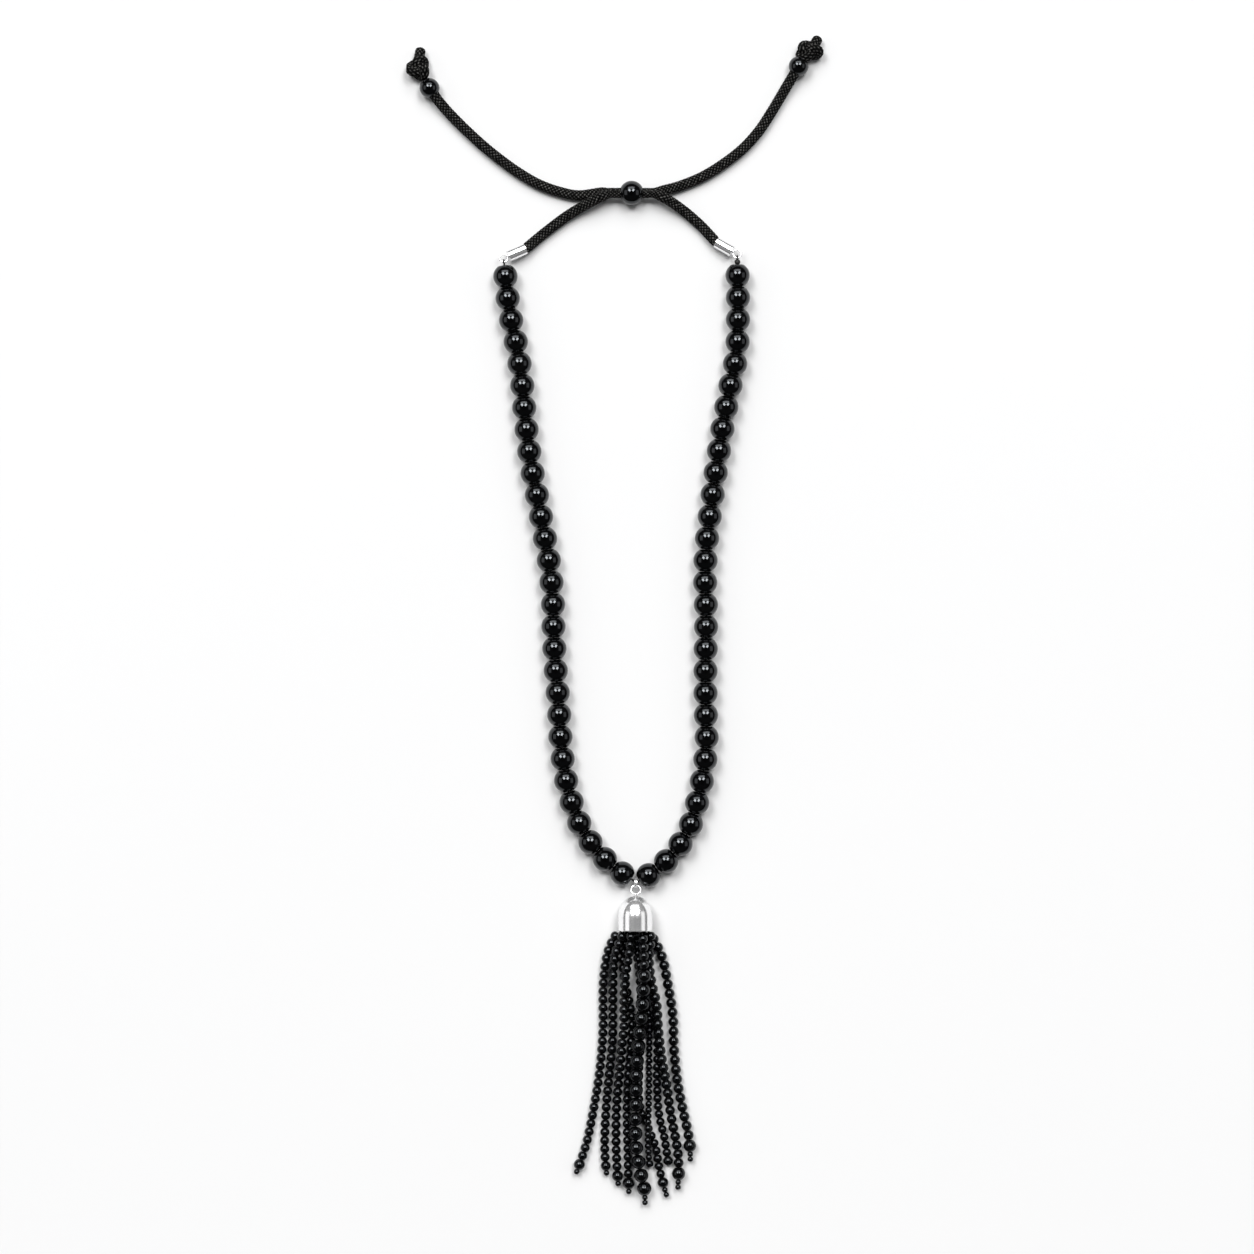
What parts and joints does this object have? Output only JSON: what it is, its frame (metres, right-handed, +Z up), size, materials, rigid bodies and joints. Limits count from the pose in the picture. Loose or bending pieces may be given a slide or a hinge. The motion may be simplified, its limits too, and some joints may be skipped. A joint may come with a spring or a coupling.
{
  "type": "bead necklace",
  "caption": "Adjustable necklace of round black beads with a slider bead on braided cords, silver caps and rings, and a hanging tassel of small black bead strands.",
  "frame": {"origin": "middle of the laid-out necklace, on the surface that it lies on", "axes": "+Y from the tassel towards the cord closure, +X to the right, +Z up from the surface"},
  "size_m": [0.1365, 0.3829, 0.0111],
  "materials": {
    "onyx": "polished opaque black stone",
    "braided_cord": "tight round braid, dull black",
    "thread": "thin waxed black thread",
    "silver": "polished silver"
  },
  "bodies": {
    "closure": {"cord_left": "braided_cord", "cord_right": "braided_cord", "end_bead_left": "onyx", "end_knot_left": "braided_cord", "cord_cap_left": "silver", "end_bead_right": "onyx", "end_knot_right": "braided_cord", "cord_cap_right": "silver"},
    "slider": {"slider_bead": "onyx"},
    "left_1": {"left_beads_1": "onyx", "left_thread_1": "thread", "thread_loop_left": "thread"},
    "left_2": {"left_beads_2": "onyx", "left_thread_2": "thread"},
    "left_3": {"left_beads_3": "onyx", "left_thread_3": "thread"},
    "left_4": {"left_beads_4": "onyx", "left_thread_4": "thread"},
    "left_5": {"left_beads_5": "onyx", "left_thread_5": "thread"},
    "left_6": {"left_beads_6": "onyx", "left_thread_6": "thread"},
    "right_1": {"right_beads_1": "onyx", "right_thread_1": "thread", "thread_loop_right": "thread"},
    "right_2": {"right_beads_2": "onyx", "right_thread_2": "thread"},
    "right_3": {"right_beads_3": "onyx", "right_thread_3": "thread"},
    "right_4": {"right_beads_4": "onyx", "right_thread_4": "thread"},
    "right_5": {"right_beads_5": "onyx", "right_thread_5": "thread"},
    "right_6": {"right_beads_6": "onyx", "right_thread_6": "thread"},
    "bottom_link": {"split_ring": "silver"},
    "tassel_ring": {"jump_ring": "silver"},
    "tassel": {"tassel_cap": "silver", "eye_pin": "silver", "thread_gather": "thread"},
    "strand_a": {"strand_a": "onyx", "strand_thread_a": "thread"},
    "strand_b": {"strand_b": "onyx", "strand_thread_b": "thread"},
    "strand_c": {"strand_c": "onyx", "strand_thread_c": "thread"},
    "strand_d": {"strand_d": "onyx", "strand_thread_d": "thread"},
    "strand_e": {"strand_e": "onyx", "strand_thread_e": "thread"},
    "strand_f": {"strand_f": "onyx", "strand_thread_f": "thread"},
    "strand_g": {"strand_g": "onyx", "strand_thread_g": "thread"},
    "strand_h": {"strand_h": "onyx", "strand_thread_h": "thread"},
    "strand_i": {"strand_i": "onyx", "strand_thread_i": "thread"},
    "strand_j": {"strand_j": "onyx", "strand_thread_j": "thread"}
  },
  "joints": [
    {"name": "slider_slide", "type": "slide", "parent": "closure", "child": "slider", "axis": [1, 0, 0], "range_m": [-0.0035, 0.0035]},
    {"name": "loop_spread", "type": "hinge", "parent": "closure", "child": "left_1", "pos_m": [-0.03837, 0.14083, 0.004], "axis": [0, 0, -1], "range_deg": [-3, 8]},
    {"name": "left_bend_1", "type": "hinge", "parent": "left_1", "child": "left_2", "pos_m": [-0.03284, 0.10413, 0.004], "axis": [0, 0, 1], "range_deg": [-1.06, 2.8]},
    {"name": "left_bend_2", "type": "hinge", "parent": "left_2", "child": "left_3", "pos_m": [-0.0283, 0.06833, 0.004], "axis": [0, 0, 1], "range_deg": [-1.84, 4.88]},
    {"name": "left_bend_3", "type": "hinge", "parent": "left_3", "child": "left_4", "pos_m": [-0.02259, 0.03271, 0.004], "axis": [0, 0, 1], "range_deg": [-1.99, 5.27]},
    {"name": "left_bend_4", "type": "hinge", "parent": "left_4", "child": "left_5", "pos_m": [-0.02058, -0.00332, 0.004], "axis": [0, 0, 1], "range_deg": [-0.74, 1.95]},
    {"name": "left_bend_5", "type": "hinge", "parent": "left_5", "child": "left_6", "pos_m": [-0.01502, -0.03882, 0.004], "axis": [0, 0, 1], "range_deg": [-3.13, 1.19]},
    {"name": "right_swing", "type": "hinge", "parent": "closure", "child": "right_1", "pos_m": [0.03782, 0.14217, 0.004], "axis": [0, 0, 1], "range_deg": [-3.02, 8.02]},
    {"name": "right_bend_1", "type": "hinge", "parent": "right_1", "child": "right_2", "pos_m": [0.03633, 0.10414, 0.004], "axis": [0, 0, -1], "range_deg": [-1.16, 3.05]},
    {"name": "right_bend_2", "type": "hinge", "parent": "right_2", "child": "right_3", "pos_m": [0.03025, 0.06856, 0.004], "axis": [0, 0, -1], "range_deg": [-1.77, 4.68]},
    {"name": "right_bend_3", "type": "hinge", "parent": "right_3", "child": "right_4", "pos_m": [0.02742, 0.03263, 0.004], "axis": [0, 0, -1], "range_deg": [-1.99, 5.26]},
    {"name": "right_bend_4", "type": "hinge", "parent": "right_4", "child": "right_5", "pos_m": [0.02749, -0.00346, 0.004], "axis": [0, 0, -1], "range_deg": [-0.69, 1.81]},
    {"name": "right_bend_5", "type": "hinge", "parent": "right_5", "child": "right_6", "pos_m": [0.02367, -0.03914, 0.004], "axis": [0, 0, -1], "range_deg": [-3.13, 1.19]},
    {"name": "link_level", "type": "hinge", "parent": "left_6", "child": "bottom_link", "pos_m": [0.0047, -0.0611, 0.004], "axis": [0, 0, 1], "range_deg": [-3.72, 1.41]},
    {"name": "tassel_swing", "type": "hinge", "parent": "bottom_link", "child": "tassel_ring", "pos_m": [0.0047, -0.06255, 0.0043], "axis": [0, 0, 1], "range_deg": [-15, 15]},
    {"name": "tassel_lift", "type": "hinge", "parent": "tassel_ring", "child": "tassel", "pos_m": [0.0047, -0.06547, 0.00548], "axis": [-1, 0, 0], "range_deg": [0, 70]},
    {"name": "strand_fan", "type": "hinge", "parent": "tassel", "child": "strand_a", "pos_m": [0.00033, -0.07706, 0.00451], "axis": [0, 0, -1], "range_deg": [0, 8]},
    {"name": "fan_b", "type": "hinge", "parent": "tassel", "child": "strand_b", "pos_m": [0.00076, -0.07706, 0.00627], "axis": [0, 0, -1], "range_deg": [0, 4.82]},
    {"name": "fan_c", "type": "hinge", "parent": "tassel", "child": "strand_c", "pos_m": [0.00323, -0.07706, 0.00746], "axis": [0, 0, -1], "range_deg": [0, 2.82]},
    {"name": "fan_d", "type": "hinge", "parent": "tassel", "child": "strand_d", "pos_m": [0.00178, -0.07706, 0.00372], "axis": [0, 0, -1], "range_deg": [0, 1.22]},
    {"name": "fan_e", "type": "hinge", "parent": "tassel", "child": "strand_e", "pos_m": [0.0049, -0.07706, 0.0052], "axis": [0, 0, 1], "range_deg": [0, 0.82]},
    {"name": "fan_f", "type": "hinge", "parent": "tassel", "child": "strand_f", "pos_m": [0.0049, -0.07706, 0.0052], "axis": [0, 0, 1], "range_deg": [0, 0.82]},
    {"name": "fan_g", "type": "hinge", "parent": "tassel", "child": "strand_g", "pos_m": [0.00679, -0.07706, 0.00304], "axis": [0, 0, 1], "range_deg": [0, 3.22]},
    {"name": "fan_h", "type": "hinge", "parent": "tassel", "child": "strand_h", "pos_m": [0.00875, -0.07706, 0.00551], "axis": [0, 0, 1], "range_deg": [0, 4.42]},
    {"name": "fan_i", "type": "hinge", "parent": "tassel", "child": "strand_i", "pos_m": [0.00823, -0.07706, 0.00341], "axis": [0, 0, 1], "range_deg": [0, 8.02]},
    {"name": "fan_j", "type": "hinge", "parent": "tassel", "child": "strand_j", "pos_m": [0.0049, -0.07706, 0.0052], "axis": [0, 0, 1], "range_deg": [0, 0.82]}
  ],
  "couplings": [
    {"joint": "left_bend_1", "follows": "loop_spread", "ratio": 0.347},
    {"joint": "left_bend_2", "follows": "loop_spread", "ratio": 0.607},
    {"joint": "left_bend_3", "follows": "loop_spread", "ratio": 0.656},
    {"joint": "left_bend_4", "follows": "loop_spread", "ratio": 0.241},
    {"joint": "left_bend_5", "follows": "loop_spread", "ratio": -0.389},
    {"joint": "right_swing", "follows": "loop_spread", "ratio": 1},
    {"joint": "right_bend_1", "follows": "loop_spread", "ratio": 0.379},
    {"joint": "right_bend_2", "follows": "loop_spread", "ratio": 0.582},
    {"joint": "right_bend_3", "follows": "loop_spread", "ratio": 0.655},
    {"joint": "right_bend_4", "follows": "loop_spread", "ratio": 0.224},
    {"joint": "right_bend_5", "follows": "loop_spread", "ratio": -0.389},
    {"joint": "link_level", "follows": "loop_spread", "ratio": -0.462},
    {"joint": "fan_b", "follows": "strand_fan", "ratio": 0.6},
    {"joint": "fan_c", "follows": "strand_fan", "ratio": 0.35},
    {"joint": "fan_d", "follows": "strand_fan", "ratio": 0.15},
    {"joint": "fan_e", "follows": "strand_fan", "ratio": 0.1},
    {"joint": "fan_f", "follows": "strand_fan", "ratio": 0.1},
    {"joint": "fan_g", "follows": "strand_fan", "ratio": 0.4},
    {"joint": "fan_h", "follows": "strand_fan", "ratio": 0.55},
    {"joint": "fan_i", "follows": "strand_fan", "ratio": 1},
    {"joint": "fan_j", "follows": "strand_fan", "ratio": 0.1}
  ]
}
